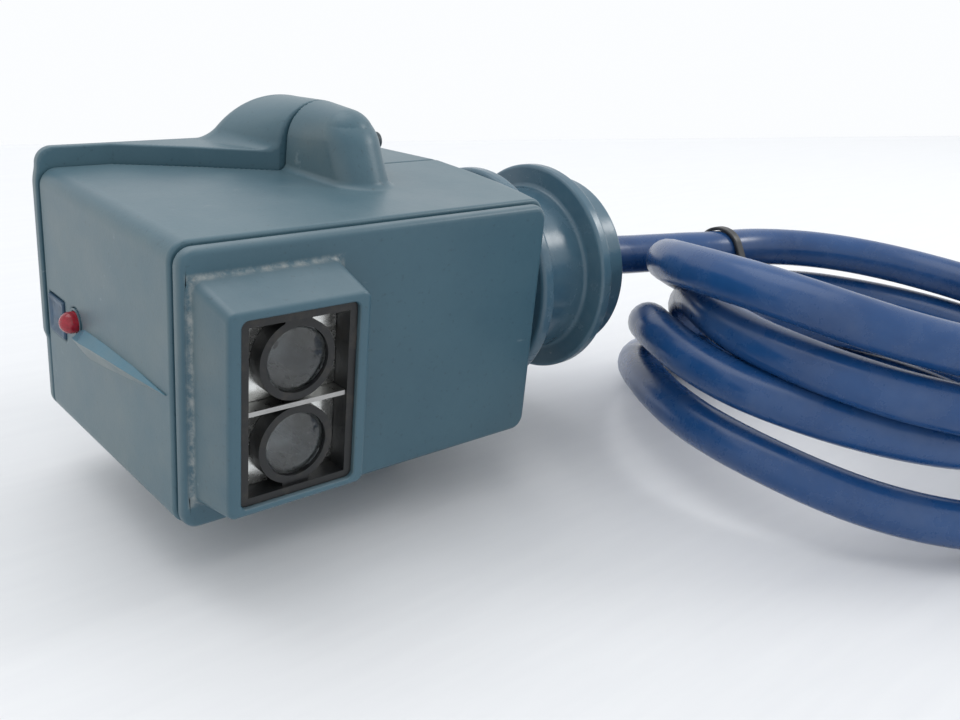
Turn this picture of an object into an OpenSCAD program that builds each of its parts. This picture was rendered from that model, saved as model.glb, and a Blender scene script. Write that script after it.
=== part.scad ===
// Timing light: a moulded two-lens strobe head with a ribbed side neck and a coiled rubber lead.
// Working frame: X to the right along the lens face, Y from the lens face into the head, Z up.
// Its zero is the lower left front corner of the box; placed() moves it onto the standing surface.

/* [Housing] */
// Width of the box at the lens face
body_w = 94.5; // [80:0.5:110]
// Height of the box
body_h = 60; // [50:1:75]
// Depth of the box
body_d = 72; // [60:1:90]
// Swell of the right wall where the two shells meet
side_flare = 7.7; // [0:0.1:10]
// Radius along the four long edges
corner_r = 4; // [2:0.5:8]
// Wall of the shells
wall = 2.5; // [2:0.1:4]
// Thickness of the front plate
plate_t = 3; // [2:0.5:5]
// Thickness of the dark seal behind the front plate
seal_t = 0.8; // [0.3:0.1:1.5]
// Height of the raised pad of the rear cover
pad_h = 4.5; // [0:0.5:8]

/* [Hump] */
// Middle of the upper and lower humps across the box
hump_x = 62; // [55:0.5:75]
// Radius of the leaning nose of a hump
nose_r = 7.1; // [5:0.1:9]
// Distance of the nose from the lens face, at the top of the box
nose_y = 31.5; // [26:0.5:36]
// How far the nose leans back, in degrees
nose_lean = 26.6; // [0:0.1:35]
// Height of a hump over its face
hump_rise = 16.7; // [13:0.1:20]
// Radius of a hump's crown where the shells meet
hump_r = 9.7; // [7.5:0.1:12]
// Radius of the bell that the hump spreads into at the back
bell_r = 24; // [20:0.5:30]
// How far the foot sits below the box
stand_h = 16.5; // [12:0.5:22]
// Thickness of the rubber foot
foot_t = 3; // [2:0.5:5]

/* [Hood and lenses] */
// Width of the lens opening
win_w = 26; // [20:0.5:32]
// Height of the lens opening
win_h = 39; // [30:0.5:44]
// Left edge of the lens opening
win_x = 6.5; // [5:0.1:12]
// Lower edge of the lens opening
win_z = 9.6; // [8:0.1:14]
// How far the hood stands out
hood_out = 12; // [6:0.5:18]
// Diameter of each lens
lens_d = 13.5; // [10:0.1:15]

/* [Neck and lead] */
// Axis of the neck from the lens face
neck_y = 35.5; // [30:0.5:42]
// Axis of the neck from the bottom of the box
neck_z = 29.6; // [25:0.1:35]
// Outer end of the neck
neck_end = 139; // [120:1:150]
// Diameter of the lead
lead_d = 12; // [8:0.5:14]
// Radius of the coil at the middle of the lead
coil_r = 60; // [50:1:80]

/* [Small parts] */
// Diameter of the indicator lamp
lamp_d = 5; // [3:1:8]
// How far the indicator stands out
lamp_out = 3.6; // [2:0.1:5]
// Diameter of the push button
button_d = 4.4; // [3:0.1:5]
// Travel of the push button
button_travel = 1.5; // [0.5:0.1:2.5]
// Clearance between separate pieces
gap = 0.3; // [0.1:0.05:0.5]

/* [Hidden] */
// Every sub-part by name
// Which sub-part to build
$fn = 64;
eps = 0.01;

// Where the working frame's zero lies in the frame of the part
mid_x = (neck_end - lamp_out) / 2;
back_y = body_d + 0.5;
mid_y = (back_y - hood_out) / 2;

// Right wall seen from above: distance from the lens face, share of the swell
right_wall = [[0, 0.13], [12, 0.53], [22, 0.75], [32, 0.9], [48, 1], [72.5, 0.09]];

// Run of the joint between the two shells, seen from above
split_side_y = 68.5;
split_foot_y = 50.6;
split_y = 48.6;
split_run = [
    [-10, split_side_y], [17, split_side_y], [34, 60.2],
    [51, split_foot_y], [80, split_y], [120, split_y]
];

// The hump's nose ends in a ball; a crown runs back from it to the joint
ball_up = 10.5;
ball_y = nose_y + ball_up * sin(nose_lean);
ball_z = body_h + ball_up * cos(nose_lean);
crown_z = body_h + hump_rise - hump_r;
rear_r = hump_r + 0.6;

// Window centre and the two cells
win_mid_x = win_x + win_w / 2;
cell_w = 22;
cell_h = 17;
bar_h = 1;
win_mid_z = win_z + win_h / 2;
cell_up_z = win_mid_z + (cell_h + bar_h) / 2 + 0.1;
cell_low_z = win_mid_z - (cell_h + bar_h) / 2 - 0.1;
frame_y = -11;
bar_y = -10.6;
rim_y = -6.4;
barrel_y = -10.2;
barrel_r = cell_h / 2 - 0.1;

// Indicator lamp and latch on the left wall
lamp_y = 51.2;
lamp_z = 28.9;
latch_y = 57.4;
latch_w = 9;
latch_z = 22.3;
latch_h = 9.1;

// Push button on the right flank of the upper hump
button_y = 42;
button_z = 67.6;
button_tip = 74.2;
flange_x = 66.6;
button_flange_r = 3;
button_flange_t = 2;
switch_x = 60.6;

// Screws: left pair near the back face, right pair at the bottom of deep wells
screw_r = 1.5;
screw_len = 18;
screw_head_r = 2.75;
screw_head_t = 2.4;
post_r = 5;
screw_low_z = 7;
screw_high_z = body_h - 7;
screw_left_x = 7;
screw_right_x = 76;
seat_left_y = body_d - 4;
seat_right_y = 58;

// Route of the lead from the neck to the coil, then from the coil to the plug
lead_route = [
    [139, 35.5, 29.6], [145, 35.5, 29.6], [151, 35.4, 29.5], [157, 34.9, 29.2], [163, 34, 29],
    [169, 32.6, 28.9], [175, 30.8, 29], [181, 28.6, 29.2], [187, 26.2, 29.5], [193, 24, 29.6]
];
tail_route = [
    [257, -16, -10.4], [259, -20, -10.2], [261, -24, -9.6], [262.8, -28, -8.4],
    [264.5, -32, -7], [266.2, -36.4, -5.2], [268, -41, -3.5]
];

// The coil leans: its left side is lifted off the surface
coil_x = 193.5;
coil_y = -37;
coil_lean = 8.4;
coil_tall = 50;
coil_low_z = -0.3;

// The plug lies past the end of the tail
plug_x = 268;
plug_y = -41;
plug_z = -3.5;
plug_turn = -72;
plug_len = 40;
plug_r = 12.5;

module placed() {
    translate([-mid_x, -mid_y, stand_h]) children();
}

// ---- helpers -------------------------------------------------------------

// A rectangle with round corners, from its lower left corner
module round_rect(w, h, r) {
    translate([r, 0]) square([w - 2 * r, h]);
    translate([0, r]) square([w, h - 2 * r]);
    for (x = [r, w - r])
        for (y = [r, h - r])
            translate([x, y]) circle(r);
}

// An outline in X and Z, carried along Y from y0 to y1
module along_y(y0, y1) {
    translate([0, y1, 0]) rotate([90, 0, 0]) linear_extrude(y1 - y0) children();
}

// An outline in Y and Z, carried along X from x0 to x1
module along_x(x0, x1) {
    translate([x0, 0, 0]) rotate([90, 0, 90]) linear_extrude(x1 - x0) children();
}

// A turned profile (radius, distance) around the neck's axis
module on_neck() {
    translate([0, neck_y, neck_z]) rotate([0, 90, 0]) rotate_extrude() children();
}

// Frames along a route: the direction at a point, and a ring of points around it
function unit(v) = v / norm(v);
function heading(p, i) = unit(p[min(i + 1, len(p) - 1)] - p[max(i - 1, 0)]);
function ring(p, i, r, sides) =
    let (d = heading(p, i), s = unit(cross([0, 0, 1], d)), u = cross(d, s))
    [for (k = [0:sides - 1]) p[i] + r * (cos(360 * k / sides) * s + sin(360 * k / sides) * u)];

// A round tube along a list of points
module tube(p, r, sides = 12) {
    last = len(p) - 1;
    points = [for (i = [0:last]) each ring(p, i, r, sides)];
    sleeve = [
        for (i = [0:last - 1])
            for (k = [0:sides - 1])
                let (a = i * sides + k, b = i * sides + (k + 1) % sides)
                each [[a, b, a + sides], [b, b + sides, a + sides]]
    ];
    first_cap = [for (k = [0:sides - 1]) sides - 1 - k];
    last_cap = [for (k = [0:sides - 1]) last * sides + k];
    polyhedron(points, [for (f = concat([first_cap], sleeve, [last_cap])) [for (k = [len(f) - 1:-1:0]) f[k]]]);
}

// ---- housing -------------------------------------------------------------

// The box, drawn inside its outer faces by an inset; an inset box is open at the front
module box(inset) {
    start = plate_t + seal_t - (inset > 0 ? 1 : 0);
    wall_line = [for (p = right_wall) [body_w - inset + side_flare * p[1], p[0]]];
    intersection() {
        translate([0, 0, inset])
            linear_extrude(body_h - 2 * inset)
                polygon(concat([[inset, 0]], wall_line, [[inset, body_d + 0.5]]));
        along_y(start, body_d - inset)
            translate([inset, inset])
                round_rect(body_w + side_flare - 2 * inset, body_h - 2 * inset, corner_r - inset / 2);
    }
}

// A round-topped outline from the middle of the box up to a crown
module arch(r, top) {
    translate([hump_x, top]) circle(r);
    translate([hump_x - r, body_h / 2]) square([2 * r, top - body_h / 2]);
}

// Front half of the upper hump: a leaning nose, then a crown and flanks that widen up to the joint
module front_hump(inset) {
    r = nose_r - inset;
    wide = hump_r - inset;
    run = split_foot_y - ball_y;
    drop = ball_z - crown_z;
    translate([hump_x, nose_y, body_h]) rotate([-nose_lean, 0, 0])
        rotate_extrude() intersection() {
            union() {
                translate([0, -20]) square([r, 20 + ball_up]);
                translate([0, ball_up]) circle(r);
            }
            translate([0, -20]) square([r + 1, 50]);
        }
    translate([hump_x, ball_y, ball_z]) rotate([-90 - atan(drop / run), 0, 0])
        cylinder(h = norm([run, drop]), r1 = r - 0.2, r2 = wide);
    intersection() {
        translate([0, 0, body_h / 2]) linear_extrude(body_h)
            polygon([
                [hump_x - r + 0.4, 10], [hump_x + r - 0.4, 10], [hump_x + r - 0.4, ball_y],
                [hump_x + wide - 0.4, split_foot_y], [hump_x - wide + 0.4, split_foot_y],
                [hump_x - r + 0.4, ball_y]
            ]);
        along_x(0, body_w)
            polygon([
                [nose_y - 15, body_h / 2], [split_foot_y, body_h / 2],
                [split_foot_y, crown_z], [ball_y, ball_z]
            ]);
    }
}

// Back half of the upper hump: a slightly larger arch that spreads into a bell
module rear_hump(inset) {
    r = rear_r - inset;
    far = body_d - inset;
    difference() {
        union() {
            along_y(split_y - 2, far) arch(r, body_h + hump_rise - rear_r - 0.2);
            intersection() {
                along_y(split_y, far) arch(bell_r - inset, body_h + 14.9 - bell_r);
                translate([0, 0, body_h / 2]) linear_extrude(body_h)
                    polygon([
                        [hump_x - r + 0.5, 49.6], [hump_x + r - 0.5, 49.6], [hump_x + r + 9.7, 68],
                        [hump_x + r + 12, far], [hump_x - r - 12, far], [hump_x - r - 9.7, 68]
                    ]);
            }
        }
        linear_extrude(120) polygon(concat(split_run, [[120, 20], [-10, 20]]));
    }
}

module hump(inset) {
    front_hump(inset);
    rear_hump(inset);
}

// Both humps; the lower one mirrors the upper one and is cut flat for the foot
module humps(inset) {
    hump(inset);
    intersection() {
        translate([0, 0, body_h]) mirror([0, 0, 1]) hump(inset);
        translate([0, 0, inset - stand_h + foot_t]) cube([body_w + side_flare, body_d, body_h]);
    }
}

// The whole moulding as a solid, front shell and rear cover together
module moulding(inset) {
    box(inset);
    humps(inset);
}

// Everything behind the joint between the shells, moved back by an offset
module behind_split(back) {
    translate([0, back, -40])
        linear_extrude(160)
            polygon(concat(split_run, [[120, 100], [-10, 100]]));
}

// Tall round holes for the screws and their heads
module screw_wells(r, head_r) {
    for (z = [screw_low_z, screw_high_z]) {
        for (s = [[screw_left_x, seat_left_y], [screw_right_x, seat_right_y]]) {
            translate([s[0], s[1] + eps, z]) rotate([90, 0, 0]) cylinder(h = screw_len + 1, r = r);
            translate([s[0], body_d + 9, z]) rotate([90, 0, 0]) cylinder(h = body_d + 9 - s[1], r = head_r);
        }
    }
}

module posts(y0, y1) {
    for (x = [screw_left_x, screw_right_x])
        for (z = [screw_low_z, screw_high_z])
            translate([x, y1, z]) rotate([90, 0, 0]) cylinder(h = y1 - y0, r = post_r);
}

// The pieces that the walls of the shells make room for
module wall_openings() {
    translate([-3, lamp_y, lamp_z]) rotate([0, 90, 0]) cylinder(h = 11, r = lamp_d / 2 + 0.8);
    translate([-1, latch_y - gap, latch_z - gap]) cube([wall + 2, latch_w + 2 * gap, latch_h + 2 * gap]);
    translate([80, neck_y, neck_z]) rotate([0, 90, 0]) cylinder(h = 30, r = 20 + gap);
    translate([66, button_y, button_z]) rotate([0, 90, 0]) cylinder(h = 10, r = button_d / 2 + 0.06);
}

// The raised pointer beside the indicator lamp
module pointer() {
    tip_y = 5.8;
    wide_y = 49;
    low = 23;
    high = 28.6;
    along_x(-1.8, 1.2)
        polygon([[tip_y, 28.9], [44, low], [wide_y, low + 0.6], [wide_y + 1.5, high - 2], [48, high]]);
}

module front_plate() {
    root = [2.4, 35.4, 6.9, 53.6];
    tip = [3.6, 35.2, 7.9, 50.6];
    color("#5b7682") placed() difference() {
        union() {
            along_y(0, plate_t) translate([0.3, 0.6])
                round_rect(body_w - 0.5, body_h - 1.3, corner_r - 0.4);
            // The hood narrows towards its front, in plan and from the side
            intersection() {
                translate([0, 0, root[2]])
                    linear_extrude(root[3] - root[2])
                        polygon([[tip[0], -hood_out], [tip[1], -hood_out], [root[1], eps], [root[0], eps]]);
                along_x(root[0], root[1])
                    polygon([[-hood_out, tip[2]], [-hood_out, tip[3]], [eps, root[3]], [eps, root[2]]]);
            }
        }
        along_y(-hood_out - 1, plate_t + 1) translate([win_x, win_z]) round_rect(win_w, win_h, 1.5);
    }
}

module plate_gasket() {
    color("#20262a") placed() difference() {
        along_y(plate_t, plate_t + seal_t) translate([1.5, 1.6])
            round_rect(body_w - 2.5, body_h - 3.2, corner_r - 1.4);
        along_y(plate_t - 1, plate_t + 1) translate([3.4, 3.4])
            round_rect(body_w - 6.8, body_h - 6.8, 2);
    }
}

module front_shell() {
    color("#6c8792") placed() difference() {
        union() {
            difference() {
                moulding(0);
                moulding(wall);
            }
            posts(14, split_side_y - gap);
            pointer();
        }
        behind_split(-0.5);
        screw_wells(1.25, 1.25);
        wall_openings();
    }
}

module rear_cover() {
    color("#6c8792") placed() difference() {
        intersection() {
            union() {
                difference() {
                    union() {
                        moulding(0);
                        // Raised pad left of the hump
                        along_y(45, body_d) translate([0, body_h / 2])
                            round_rect(hump_x - 2, body_h / 2 + pad_h, corner_r);
                        // The back face swells a little
                        along_y(body_d - 1, back_y) translate([corner_r, corner_r])
                            round_rect(body_w - 2 * corner_r, body_h - 2 * corner_r, corner_r);
                    }
                    moulding(wall);
                }
                posts(split_y + gap, body_d - 1);
            }
            behind_split(0.3);
        }
        screw_wells(screw_r + 0.2, screw_head_r + 0.3);
        wall_openings();
    }
}

// A thin seal that follows the joint all round
module cover_gasket() {
    color("#1d2226") placed() difference() {
        intersection() {
            difference() {
                moulding(0.6);
                moulding(wall - 0.2);
            }
            behind_split(-0.5);
        }
        behind_split(0.3);
        wall_openings();
        posts(0, body_d);
    }
}

module snap_latch() {
    color("#24405a") placed() {
        translate([-0.5, latch_y, latch_z]) cube([4.5, latch_w, latch_h]);
        translate([3, latch_y + 1, latch_z - 3]) cube([1.5, latch_w - 2, latch_h + 6]);
    }
}

module foot_pad() {
    color("#22272b") placed() translate([hump_x - 17.6, 30, -stand_h])
        linear_extrude(foot_t - eps) round_rect(36, 36, 6);
}

module cover_screws() {
    color("#8b8f92") placed()
        for (z = [screw_low_z, screw_high_z])
            for (s = [[screw_left_x, seat_left_y], [screw_right_x, seat_right_y]])
                translate([s[0], s[1], z]) rotate([90, 0, 0]) {
                    cylinder(h = screw_len, r = screw_r - 0.3);
                    translate([0, 0, -screw_head_t]) difference() {
                        cylinder(h = screw_head_t, r = screw_head_r);
                        for (a = [0, 90])
                            rotate([0, 0, a]) translate([-1.6, -0.3, -1]) cube([3.2, 0.6, 2.4]);
                    }
                }
}

// ---- optics --------------------------------------------------------------

// Black frame in the hood, with a barrel round each lens held by one web
module lens_frame() {
    rim = 0.15;
    color("#16191b") placed() {
        difference() {
            along_y(frame_y, plate_t) translate([win_x + rim, win_z + rim])
                round_rect(win_w - 2 * rim, win_h - 2 * rim, 1.4);
            along_y(frame_y - 1, plate_t + 1)
                translate([win_mid_x - cell_w / 2 - 0.1, win_mid_z - cell_h - bar_h / 2 - 0.2])
                    square([cell_w + 0.2, 2 * cell_h + bar_h + 0.4]);
        }
        for (side = [-1, 1])
            along_y(barrel_y, rim_y - 0.1)
                translate([win_mid_x, win_mid_z + side * (cell_up_z - win_mid_z)]) difference() {
                    union() {
                        circle(barrel_r);
                        translate([-3, side > 0 ? 7 : -8.9]) square([6, 1.9]);
                    }
                    circle(lens_d / 2 + 0.1);
                }
    }
}

// One lens: a round tile in its barrel, with a dome on its front
module lens(z) {
    dome_r = 13.6;
    seat = -9.4;
    sink = sqrt(dome_r * dome_r - lens_d * lens_d / 4);
    color("#9fb0b8", 0.5) placed() translate([win_mid_x, 0, z]) {
        translate([0, seat + 3, 0]) rotate([90, 0, 0]) cylinder(h = 3, d = lens_d);
        intersection() {
            translate([0, seat + sink, 0]) sphere(dome_r);
            translate([0, seat + eps, 0]) rotate([90, 0, 0]) cylinder(h = dome_r, d = lens_d);
        }
    }
}

module lens_upper() {
    lens(cell_up_z);
}

module lens_lower() {
    lens(cell_low_z);
}

module lens_divider() {
    color("#c9cdd0") placed() translate([win_mid_x - cell_w / 2, bar_y, win_mid_z - bar_h / 2])
        cube([cell_w, 7.2, bar_h]);
}

// One bowl reflector with a square rim, open towards its lens
module reflector(z) {
    depth = 12;
    color("#c4c8ca") placed() translate([win_mid_x, rim_y, z]) rotate([-90, 0, 0]) difference() {
        union() {
            translate([-cell_w / 2, -cell_h / 2, 0]) cube([cell_w, cell_h, 1]);
            cylinder(h = depth, r1 = cell_h / 2, r2 = 5);
        }
        translate([0, 0, -eps]) cylinder(h = depth - 1, r1 = cell_h / 2 - 0.8, r2 = 4);
        translate([0, 0, depth - 2]) cylinder(h = 3, r = 1.6);
    }
}

module reflector_upper() {
    reflector(cell_up_z);
}

module reflector_lower() {
    reflector(cell_low_z);
}

// A sealed lamp standing in the middle of its reflector, with a round base behind
module flash_tube(z) {
    color("#d9dccf") placed() translate([win_mid_x, rim_y, z]) rotate([-90, 0, 0]) {
        translate([0, 0, 4]) cylinder(h = 14, r = 1.4);
        translate([0, 0, 4]) sphere(1.4);
        translate([0, 0, 12 + gap]) cylinder(h = 4.5, r = 4.5);
    }
}

module flash_tube_upper() {
    flash_tube(cell_up_z);
}

module flash_tube_lower() {
    flash_tube(cell_low_z);
}

// ---- electronics ---------------------------------------------------------

module circuit_board() {
    board_y = 20;
    color("#2f5a3a") placed() difference() {
        union() {
            translate([12, board_y, 13]) cube([68, 1.6, 34]);
            for (x = [48, 54, 60])
                translate([x, board_y - 1.2, 16]) cube([4, 1.2 + eps, 3]);
            for (x = [44, 70])
                translate([x, board_y + 1.6, 16]) rotate([-90, 0, 0]) cylinder(h = 6, r = 2.5);
        }
        for (x = [15, 77])
            for (z = [17, 43])
                translate([x, board_y + 3, z]) rotate([90, 0, 0]) cylinder(h = 5, r = 1.6);
    }
}

module trigger_transformer() {
    color("#30343a") placed() translate([52, 21.9, 24]) {
        cube([16, 9, 4]);
        translate([0, 0, 12]) cube([16, 9, 4]);
        translate([8, 4.5, 3.9]) cylinder(h = 8.2, r = 4.4);
    }
}

module storage_capacitor() {
    color("#2c3f6b") placed() translate([18, 28, 36]) rotate([0, 90, 0]) {
        cylinder(h = 26, r = 6);
        translate([0, 0, -0.8]) cylinder(h = 0.9, r = 5.2);
    }
}

module indicator_lamp() {
    r = lamp_d / 2;
    color("#b01c2c") placed() translate([0, lamp_y, lamp_z]) rotate([0, 90, 0]) {
        translate([0, 0, r - lamp_out]) sphere(r);
        translate([0, 0, r - lamp_out]) cylinder(h = 7, r = r);
        translate([0, 0, 5]) cylinder(h = 1, r = r + 0.4);
        for (s = [-1.27, 1.27])
            translate([0, s, 5.5]) cylinder(h = 8, r = 0.3);
    }
}

module lamp_bushing() {
    color("#7b9099") placed() translate([0, lamp_y, lamp_z]) rotate([0, 90, 0]) difference() {
        union() {
            translate([0, 0, -0.2]) cylinder(h = 5, r = lamp_d / 2 + 0.7);
            translate([0, 0, wall + 0.1]) cylinder(h = 2.2, r = lamp_d / 2 + 2.2);
        }
        translate([0, 0, -2]) cylinder(h = 8, r = lamp_d / 2 + 0.15);
    }
}

// ---- push button ---------------------------------------------------------

module push_button() {
    color("#22333d") placed() translate([0, button_y, button_z]) rotate([0, 90, 0]) {
        translate([0, 0, flange_x - eps]) cylinder(h = button_tip - flange_x - 0.6, d = button_d);
        translate([0, 0, button_tip - 0.61]) cylinder(h = 0.61, d1 = button_d, d2 = button_d - 1.2);
        translate([0, 0, flange_x - button_flange_t]) cylinder(h = button_flange_t, r = button_flange_r);
    }
}

module button_spring() {
    turns = 3;
    wire = 0.25;
    start = switch_x + wire;
    finish = flange_x - button_flange_t - wire;
    steps = turns * 12;
    route = [
        for (i = [0:steps])
            [start + (finish - start) * i / steps,
             button_y + 2.3 * cos(30 * i), button_z + 2.3 * sin(30 * i)]
    ];
    color("#a5a8aa") placed() tube(route, wire, 6);
}

module button_switch() {
    plunger = flange_x - button_flange_t - button_travel - 0.1;
    color("#1b1e22") placed() {
        translate([57.3, button_y - 3.2, 63]) cube([switch_x - 57.3, 6.4, 6.5]);
        translate([switch_x - eps, button_y, button_z]) rotate([0, 90, 0])
            cylinder(h = plunger - switch_x, r = 1.5);
        translate([57.5, button_y - 2, 52]) cube([2.9, 4, 11 + eps]);
    }
}

// ---- neck ----------------------------------------------------------------

// Rubber boot: a flange inside the wall, then a root ring, a hub, a middle ring and the end
module neck_boot() {
    bore = lead_d / 2 + 0.1;
    color("#4f6c7c") placed() {
        on_neck() {
            // Flange and waist in the wall
            translate([bore, 92]) square([26 - bore, 2.4]);
            translate([bore, 92]) square([20 - bore, 11]);
            // Root ring
            translate([bore, 102.5]) square([29 - bore, 4.5]);
            translate([bore, 103.5]) square([30 - bore, 2.5]);
            translate([29, 103.5]) circle(1);
            translate([29, 106]) circle(1);
            // Hub
            translate([bore, 106.9]) square([23 - bore, 19]);
            // Middle ring
            translate([bore, 125.5]) square([28.7 - bore, 4]);
            translate([bore, 126.3]) square([29.5 - bore, 2.4]);
            translate([28.7, 126.3]) circle(0.8);
            translate([28.7, 128.7]) circle(0.8);
            // End
            translate([bore, 129.4]) square([25.5 - bore, neck_end - 130.4]);
            translate([bore, 129.4]) square([24.5 - bore, neck_end - 129.4]);
            translate([24.5, neck_end - 1]) circle(1);
        }
    }
}

// Saddle that grips the jacket inside the head
module cord_clamp() {
    color("#3a3f43") placed() difference() {
        translate([72, neck_y - 11, neck_z - 9]) cube([8, 22, 18]);
        on_neck() translate([0, 60]) square([lead_d / 2 + 0.1, 40]);
        translate([60, neck_y - 15, neck_z - 0.4]) cube([30, 30, 0.8]);
        for (s = [-8.5, 8.5])
            translate([76, neck_y + s, neck_z - 12]) cylinder(h = 24, r = 1.2);
    }
}

// The lead's own jacket inside the neck, up to the neck's end face
module lead_core() {
    color("#2f4a7c") placed() on_neck() translate([0, 68]) square([lead_d / 2, neck_end - 68]);
}

// Insulated wires from the jacket to the board
module core_wires() {
    color("#8a2d2a") placed()
        for (i = [-1, 0, 1])
            tube([
                [67.9, neck_y + 2 * i, neck_z + 2.4 * abs(i)], [64, neck_y + 2 * i, neck_z + 2.6 * abs(i)],
                [58, neck_y + 3 * i, 43], [52, 34 + 3 * i, 45], [47, 30 + 2 * i, 45.5 + i],
                [46, 26, 45 + 2 * i], [46 + i, 22, 45 + 3 * i]
            ], 0.9, 8);
}

// ---- free lead -----------------------------------------------------------

module cable() {
    color("#2f4a7c") placed() tube(lead_route, lead_d / 2, 12);
}

// The last stretch, from the coil to the plug
module cable_tail() {
    color("#2f4a7c") placed() tube(tail_route, lead_d / 2, 12);
}

// Outer shape of the coil's turns
module cable_coil() {
    color("#2f4a7c") placed() translate([coil_x, coil_y, coil_low_z]) rotate([4, coil_lean, 0])
        rotate_extrude($fn = 96) translate([coil_r - 7, -6]) round_rect(14, coil_tall, 5);
}

module cable_tie() {
    color("#20262a") placed() translate([199.4, 22.3, 29.6]) rotate([0, 90, -8]) difference() {
        cylinder(h = 3.2, r = 7.4);
        translate([0, 0, -1]) cylinder(h = 6, r = lead_d / 2 + 0.3);
    }
}

module at_plug() {
    placed() translate([plug_x, plug_y, plug_z]) rotate([0, 0, plug_turn]) rotate([0, 90, 0]) children();
}

module plug_body() {
    color("#2a2e31") at_plug() {
        cylinder(h = 16, r1 = lead_d / 2 + 1.5, r2 = plug_r - 2);
        translate([0, 0, 16 - eps]) cylinder(h = plug_len - 16, r = plug_r - 2);
        translate([0, 0, plug_len - eps]) cylinder(h = 3, r = 7.5);
    }
}

module plug_collar() {
    grips = 24;
    color("#9a9ea0") at_plug() translate([0, 0, 24]) difference() {
        cylinder(h = 14, r = plug_r);
        translate([0, 0, -1]) cylinder(h = 16, r = plug_r - 2 + 0.1);
        for (i = [0:grips - 1])
            rotate([0, 0, i * 360 / grips]) translate([plug_r + 0.3, 0, 2]) cylinder(h = 10, r = 0.9, $fn = 16);
    }
}

module plug_pins() {
    color("#c8b070") at_plug() for (a = [0:60:300])
        rotate([0, 0, a]) translate([4.5, 0, plug_len + 3]) {
            cylinder(h = 7, r = 0.8);
            translate([0, 0, 7]) sphere(0.8);
        }
}

front_plate();
plate_gasket();
front_shell();
rear_cover();
cover_gasket();
snap_latch();
foot_pad();
cover_screws();
lens_frame();
lens_upper();
lens_lower();
lens_divider();
reflector_upper();
reflector_lower();
flash_tube_upper();
flash_tube_lower();
circuit_board();
trigger_transformer();
storage_capacitor();
indicator_lamp();
lamp_bushing();
push_button();
button_spring();
button_switch();
neck_boot();
cord_clamp();
lead_core();
core_wires();
cable();
cable_coil();
cable_tail();
cable_tie();
plug_body();
plug_collar();
plug_pins();
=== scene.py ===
"""Looks of the timing light: a boxed two-lens strobe head, its ribbed neck and its coiled lead."""

import math

import bmesh
import bpy
import numpy as np
from mathutils import Matrix, Vector


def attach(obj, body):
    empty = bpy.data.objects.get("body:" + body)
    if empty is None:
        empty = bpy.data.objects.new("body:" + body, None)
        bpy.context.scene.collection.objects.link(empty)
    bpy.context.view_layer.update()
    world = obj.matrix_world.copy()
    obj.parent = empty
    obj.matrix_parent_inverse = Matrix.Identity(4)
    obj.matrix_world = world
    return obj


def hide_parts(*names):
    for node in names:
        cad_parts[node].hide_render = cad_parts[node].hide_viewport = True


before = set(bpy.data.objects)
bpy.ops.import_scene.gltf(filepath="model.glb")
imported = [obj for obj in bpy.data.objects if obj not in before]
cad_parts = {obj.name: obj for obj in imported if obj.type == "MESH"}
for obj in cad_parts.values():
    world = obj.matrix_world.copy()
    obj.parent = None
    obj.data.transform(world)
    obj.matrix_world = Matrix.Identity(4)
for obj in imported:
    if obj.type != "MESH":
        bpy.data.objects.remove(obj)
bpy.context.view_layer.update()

# ---- the working frame ---------------------------------------------------
# Shapes are drawn in millimetres from the lower left front corner of the box: X along the lens
# face, Y from the lens face into the head, Z up. MM and ORIGIN carry them to the row frame.

MM = 0.001
NECK_END = 139.0
LAMP_OUT = 3.6
BACK_Y = 72.5
HOOD_OUT = 12.0
STAND_H = 16.5
ORIGIN = np.array([(NECK_END - LAMP_OUT) / 2, (BACK_Y - HOOD_OUT) / 2, -STAND_H])

BODY_W, BODY_H = 94.5, 60.0
PLATE_T, SEAL_T = 3.0, 0.8
WALL = 2.5
PAD_H = 4.5
NECK_Y, NECK_Z = 35.5, 29.6
LEAD_D = 12.0
LAMP_Y, LAMP_Z, LAMP_R = 51.2, 28.9, 2.5
LATCH = (57.4, 22.3, 9.0, 9.1)  # lowest y and z, then width and height
BUTTON_Y, BUTTON_Z, BUTTON_R, BUTTON_TIP = 42.0, 67.6, 2.2, 74.2
HUMP_X = 62.0
WINDOW = (6.5, 9.6, 26.0, 39.0)  # lowest x and z, then width and height
CELL_H, BAR_H = 17.0, 1.0


def row(points):
    """Millimetres in the working frame to metres in the row frame."""
    return (np.asarray(points, float) - ORIGIN) * MM


# ---- camera --------------------------------------------------------------


def make_camera():
    """At the photograph's angle: about 43 degrees to the left of the lens face and 22 above it."""
    ahead = Vector((0.6356, 0.6754, -0.3740)).normalized()
    up = Vector((0.1850, 0.3371, 0.9231))
    right = ahead.cross(up).normalized()
    up = right.cross(ahead)
    data = bpy.data.cameras.new("camera")
    data.sensor_width = 36.0
    data.lens = 38.3
    camera = bpy.data.objects.new("camera", data)
    turn = Matrix((right, up, -ahead)).transposed().to_4x4()
    camera.matrix_world = Matrix.Translation(row([-79.1, -165.7, 114.7])) @ turn
    bpy.context.collection.objects.link(camera)
    bpy.context.scene.camera = camera


# ---- materials -----------------------------------------------------------


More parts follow.
